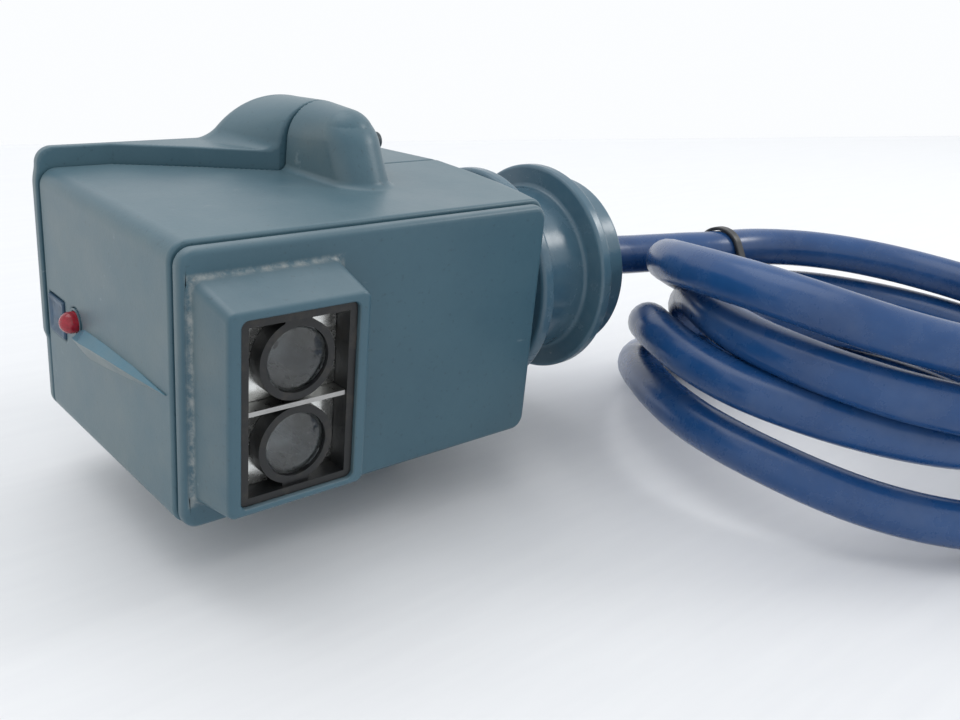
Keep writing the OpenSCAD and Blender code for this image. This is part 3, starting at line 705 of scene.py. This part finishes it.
def field_mesh(name, field, low, high, step):
    """A closed skin of quads round a distance field, drawn onto it, with large flats merged."""
    axes = [np.arange(a, b + step, step) for a, b in zip(low, high)]
    x, y, z = np.meshgrid(*axes, indexing="ij", sparse=True)
    d = np.asarray(field(x, y, z), np.float32)
    d = np.broadcast_to(d, [len(a) for a in axes])
    sign = d < 0
    cells = [n - 1 for n in d.shape]
    total = np.zeros((*cells, 3), np.float32)
    count = np.zeros(cells, np.float32)
    for k in range(3):
        a = [slice(None)] * 3
        b = [slice(None)] * 3
        a[k], b[k] = slice(0, -1), slice(1, None)
        d0, d1 = d[tuple(a)], d[tuple(b)]
        crossed = sign[tuple(a)] != sign[tuple(b)]
        with np.errstate(divide="ignore", invalid="ignore"):
            share = np.where(crossed, d0 / (d0 - d1), 0).astype(np.float32)
        others = [m for m in range(3) if m != k]
        for i in (0, 1):
            for j in (0, 1):
                cut = [slice(None)] * 3
                cut[others[0]] = slice(i, i + cells[others[0]])
                cut[others[1]] = slice(j, j + cells[others[1]])
                hit = crossed[tuple(cut)]
                count += hit
                total[..., k] += share[tuple(cut)]
                total[..., others[0]] += hit * i
                total[..., others[1]] += hit * j
    used = count > 0
    number = np.full(cells, -1, np.int64)
    number[used] = np.arange(used.sum())
    points = np.argwhere(used) + total[used] / count[used][:, None]
    points = np.array(low) + points * step
    faces = []
    for k in range(3):
        a = [slice(1, -1)] * 3
        b = [slice(1, -1)] * 3
        a[k], b[k] = slice(0, -1), slice(1, None)
        s0, s1 = sign[tuple(a)], sign[tuple(b)]
        at = np.argwhere(s0 != s1)
        out = s0[tuple(at.T)]
        at = at + 1
        at[:, k] -= 1
        m, n = [(1, 2), (2, 0), (0, 1)][k]
        quad = []
        for i, j in ((0, 0), (1, 0), (1, 1), (0, 1)):
            corner = at.copy()
            corner[:, m] -= 1 - i
            corner[:, n] -= 1 - j
            quad.append(number[tuple(corner.T)])
        quad = np.stack(quad, axis=1)
        quad[~out] = quad[~out][:, ::-1]
        faces.append(quad)
    faces = np.concatenate(faces)
    for _ in range(3):
        g = gradient(field, points)
        size = np.maximum((g * g).sum(1), 0.2)
        move = -(field(*points.T) / size)[:, None] * g
        points = points + np.clip(move, -step, step)
    mesh = bpy.data.meshes.new(name)
    mesh.from_pydata(row(points).tolist(), [], faces.tolist())
    work = bmesh.new()
    work.from_mesh(mesh)
    bmesh.ops.dissolve_limit(work, angle_limit=math.radians(0.4), verts=work.verts, edges=work.edges)
    bmesh.ops.triangulate(work, faces=[f for f in work.faces if len(f.verts) > 4])
    work.to_mesh(mesh)
    work.free()
    for face in mesh.polygons:
        face.use_smooth = True
    kept = np.zeros(len(mesh.vertices) * 3)
    mesh.vertices.foreach_get("co", kept)
    g = gradient(field, kept.reshape(-1, 3) / MM + ORIGIN)
    g /= np.maximum(np.linalg.norm(g, axis=1), 1e-6)[:, None]
    mesh.normals_split_custom_set_from_vertices(g.tolist())
    return mesh


def make_shells():
    """The two shells and the seal between them."""
    step = 0.6
    mesh = field_mesh("shell_front", front_field, (-1.5, 1.5, -15.5), (104.5, 71, 79), step)
    piece("shell_front", mesh, "shell", ["front_shell"])
    mesh = field_mesh("shell_rear", rear_field, (-1.5, 45, -15.5), (104.5, 74.5, 79), step)
    piece("shell_rear", mesh, "shell", ["rear_cover"])
    mesh = field_mesh("shell_seal", seal_field, (-1.5, 45, -15.5), (104.5, 71, 79), 0.6)
    piece("shell_seal", mesh, "seal", ["cover_gasket"])


def make_pointer():
    """The raised pointer on the left wall: a wide end by the lamp, a ridge, and a sharp tip."""
    outline = [(5.8, 28.7), (20, 26.2), (34, 23.9), (43.5, 22.6), (48, 22.9), (49.8, 24.3), (49.9, 26.0),
               (48.6, 27.8), (46, 28.7), (34, 29.2), (20, 29.3)]
    ridge = [(5.8, 28.8), (20, 28.2), (34, 27.6), (43.5, 27.0), (46.5, 26.9), (47.2, 26.9), (47.2, 27.0),
             (46.5, 27.1), (43.5, 27.2), (34, 27.7), (20, 28.3)]
    rise = [0.2, 1.3, 2.0, 2.5, 2.6, 2.5, 2.5, 2.6, 2.5, 2.0, 1.3]
    base = [(0.4, y, z) for y, z in outline]
    foot = [(-0.05, y, z) for y, z in outline]
    crest = [(-0.1 - h, y, z) for (y, z), h in zip(ridge, rise)]
    points, faces = loft([base, foot, crest])
    mesh = mesh_of("shell_pointer", row(points), faces, smooth=False)
    made = piece("shell_pointer", mesh, "rib")
    bevel = made.modifiers.new("edges", "BEVEL")
    bevel.width = 0.0002
    bevel.segments = 2
    return made


# ---- front plate, frame and lenses ---------------------------------------


def plate_rings():
    """Rings of the plate and its hood, from the plate's back edge round to the lens opening."""

    def at(y, low, size, radius):
        return [(x, y, z) for x, z in round_rect(low, size, radius)]

    def bevel(y0, y1, low, size, radius, inset, steps=4):
        """Rings round an outer edge, from a side wall at y0 onto a face at y1."""
        made = []
        for i in range(steps + 1):
            angle = math.pi / 2 * i / steps
            y = y0 + (y1 - y0) * math.sin(angle)
            d = inset * (1 - math.cos(angle))
            less = (size[0] - 2 * d, size[1] - 2 * d)
            made.append(at(y, (low[0] + d, low[1] + d), less, max(radius - d, 0.3)))
        return made

    low, size = (0.3, 0.6), (BODY_W - 0.5, BODY_H - 1.3)
    rings = [at(PLATE_T, (1.3, 1.6), (BODY_W - 2.5, BODY_H - 3.3), 2.6)]
    rings += bevel(PLATE_T - 0.7, PLATE_T, low, size, 3.6, 0.7)[::-1]
    rings += bevel(1.4, 0.0, low, size, 3.6, 1.4)
    root = ((2.4, 6.9), (33.0, 46.7))
    tip = ((3.6, 7.9), (31.6, 42.7))
    for i in range(5):
        angle = math.pi / 2 * i / 4
        d = -1.0 * (1 - math.sin(angle))
        y = -1.0 * (1 - math.cos(angle))
        more = (root[1][0] - 2 * d, root[1][1] - 2 * d)
        rings.append(at(y, (root[0][0] + d, root[0][1] + d), more, 2.2 - d))
    rings += bevel(-HOOD_OUT + 1.0, -HOOD_OUT, tip[0], tip[1], 2.0, 1.0)
    x0, z0, w, h = WINDOW
    for i in range(4):
        angle = math.pi / 2 * i / 3
        d = -0.5 * (1 - math.sin(angle))
        y = -HOOD_OUT + 0.5 * (1 - math.cos(angle))
        rings.append(at(y, (x0 + d, z0 + d), (w - 2 * d, h - 2 * d), 1.5 - d))
    rings.append(at(PLATE_T, (x0, z0), (w, h), 1.5))
    rings.append(rings[0])
    return rings


def make_front_plate():
    """The front plate with its lens hood, open at the window."""
    points, faces = loft(plate_rings(), False, False)
    mesh = mesh_of("plate_front", row(points), faces)
    merge_seam(mesh)
    return keep_flats(piece("plate_front", mesh, "plate", ["front_plate"]))


def make_lens(name, node, z):
    """One clear lens: a round tile in its barrel, with a dome that rises out of it."""
    seat, dome_r, rim = -9.4, 13.6, 6.75
    sink = math.sqrt(dome_r**2 - rim**2)
    radii = (6.7, 6.2, 5.4, 4.5, 3.5, 2.4, 1.2, 0.3)
    dome = [(seat + sink - math.sqrt(dome_r**2 - r**2), r) for r in radii]
    profile = [(seat + 3, 0.4), (seat + 3, rim - 0.1), (seat + 2.9, rim), (seat + 0.05, rim), *dome]
    mesh = mesh_of(name, *turned(profile, (WINDOW[0] + WINDOW[2] / 2, 0, z), (0, 1, 0), 72))
    return keep_flats(piece(name, mesh, "clear", [node]))


def make_lenses():
    """Two lenses, one over the other, with the bar between them."""
    middle = WINDOW[1] + WINDOW[3] / 2
    step = (CELL_H + BAR_H) / 2 + 0.1
    make_lens("lens_top", "lens_upper", middle + step)
    make_lens("lens_bottom", "lens_lower", middle - step)


# ---- small parts ---------------------------------------------------------


def make_lamp():
    """The domed indicator lamp with its flange behind the wall."""
    r = LAMP_R
    tip = -LAMP_OUT
    angles = [math.pi / 2 * i / 10 for i in range(1, 11)]
    dome = [(tip + r - r * math.cos(a), r * math.sin(a)) for a in angles]
    profile = [(tip, 0.02), *dome, (4.9, r), (5.0, r + 0.4), (6.0, r + 0.4), (6.0, 0.5)]
    mesh = mesh_of("lamp_dome", *turned(profile, (0, LAMP_Y, LAMP_Z), (1, 0, 0), 48))
    keep_flats(piece("lamp_dome", mesh, "red", ["indicator_lamp"]))


def make_button():
    """The button's cap, its stem through the wall and the flange that holds it inside."""
    edge = [(BUTTON_TIP - 0.6 + 0.6 * math.sin(a), BUTTON_R - 0.6 * (1 - math.cos(a)))
            for a in [math.pi / 8 * i for i in range(5)]]
    profile = [(64.6, 0.5), (64.6, 3.0), (66.6, 3.0), (66.6, BUTTON_R), *edge]
    profile += [(BUTTON_TIP, 0.8), (BUTTON_TIP, 0.1)]
    mesh = mesh_of("button_cap", *turned(profile, (0, BUTTON_Y, BUTTON_Z), (1, 0, 0), 64))
    keep_flats(piece("button_cap", mesh, "button", ["push_button"], "button"))


def make_latch():
    """The latch's tab, with a shallow dish in its face."""
    y0, z0, w, h = LATCH
    rings = []
    for x, d in ((4.0, 0.0), (-0.1, 0.0), (-0.4, 0.15), (-0.5, 0.45), (-0.3, 1.2), (-0.1, 1.6)):
        outline = round_rect((y0 + d, z0 + d), (w - 2 * d, h - 2 * d), 0.5, 3)
        rings.append([(x, y, z) for y, z in outline])
    points, faces = loft(rings)
    mesh = mesh_of("latch_tab", row(points), faces)
    keep_flats(piece("latch_tab", mesh, "latch", ["snap_latch"]))


def make_foot():
    """The pad that the head stands on, under its lower hump."""
    low, size = (HUMP_X - 17.6, 30), (36, 36)
    rings = []
    for z, d in ((-13.51, 0.6), (-13.7, 0.15), (-14.2, 0.0), (-15.8, 0.0), (-16.3, 0.15), (-16.5, 0.6)):
        outline = round_rect((low[0] + d, low[1] + d), (size[0] - 2 * d, size[1] - 2 * d), 6)
        rings.append([(x, y, z) for x, y in outline])
    points, faces = loft(rings)
    mesh = mesh_of("foot_rubber", row(points), faces)
    keep_flats(piece("foot_rubber", mesh, "foot", ["foot_pad"]))


def make_neck():
    """The ribbed boot, turned from one profile with round edges and grooves."""
    bore = LEAD_D / 2 + 0.1
    profile = [(92, bore), (92, 25.6), (92.4, 26), (94, 26), (94.4, 25.6), (94.4, 20), (102.5, 20)]
    profile.append((102.5, 28.6))
    profile += arc((103.9, 28.6), 1.4, 180, 90) + arc((105.6, 28.6), 1.4, 90, 0)
    profile += [(107, 24.6), (107.4, 23.5), (108.4, 23), (124.2, 23), (125.2, 23.6), (125.5, 24.6)]
    profile.append((125.5, 28.4))
    profile += arc((126.6, 28.4), 1.1, 180, 90) + arc((128.4, 28.4), 1.1, 90, 0)
    profile += [(129.5, 26.6), (129.9, 25.8), (130.8, 25.5), (137.8, 25.3)]
    profile += arc((137.8, 24.1), 1.2, 90, 0)
    profile += [(NECK_END, 22), (NECK_END, 8.5), (138.6, 7.4), (138, 6.6), (137, bore)]
    profile.append(profile[0])
    start = (0, NECK_Y, NECK_Z)
    points, faces = turned(profile, start, (1, 0, 0), 160)
    faces = faces[:-2]
    mesh = mesh_of("neck_rubber", points, faces)
    merge_seam(mesh)
    keep_flats(piece("neck_rubber", mesh, "boot", ["neck_boot"]))


# ---- stage ---------------------------------------------------------------


def make_stage():
    """A pale table whose far edge runs square to the camera's way of looking."""
    mesh = bpy.data.meshes.new("bench")
    ahead = Vector((0.204, 0.979, 0))
    side = Vector((0.979, -0.204, 0))
    far = Vector(row([427, 394, -STAND_H]))
    corners = [far - 2 * side - 3 * ahead, far + 2 * side - 3 * ahead, far + 2 * side, far - 2 * side]
    mesh.from_pydata([(p.x, p.y, 0) for p in corners], [], [(0, 1, 2, 3)])
    mesh.materials.append(pale_bench("bench_pale"))
    bench = bpy.data.objects.new("bench", mesh)
    bpy.context.collection.objects.link(bench)


def make_light(name, where, size, power, color=(1, 1, 1)):
    """A rectangular soft light that points at the middle of the scene."""
    data = bpy.data.lights.new(name, "AREA")
    data.shape = "RECTANGLE"
    data.size, data.size_y = size
    data.energy = power
    data.color = color
    light = bpy.data.objects.new(name, data)
    light.location = where
    light.rotation_euler = (-Vector(where)).to_track_quat("-Z", "Y").to_euler()
    bpy.context.collection.objects.link(light)


def make_lights():
    """Two softboxes and an even white room."""
    make_light("softbox_right", (0.86, -0.43, 0.70), (0.30, 0.22), 2.4, (1.0, 0.99, 0.97))
    make_light("softbox_top", (-0.1, 0.3, 1.1), (0.9, 0.8), 3.0)
    world = bpy.data.worlds.new("studio")
    world.use_nodes = True
    world.node_tree.nodes["Background"].inputs["Color"].default_value = (0.97, 0.985, 1.0, 1)
    world.node_tree.nodes["Background"].inputs["Strength"].default_value = 1.0
    bpy.context.scene.world = world
    bpy.context.scene.view_settings.view_transform = "Standard"


# ---- assembly ------------------------------------------------------------

make_camera()
lead, lead_path = make_lead()
plug_parts = make_plug()
tie = make_tie()
make_shells()
make_pointer()
make_front_plate()
make_lenses()
make_lamp()
make_button()
make_latch()
make_foot()
make_neck()
dress_cad()
make_stage()
make_lights()
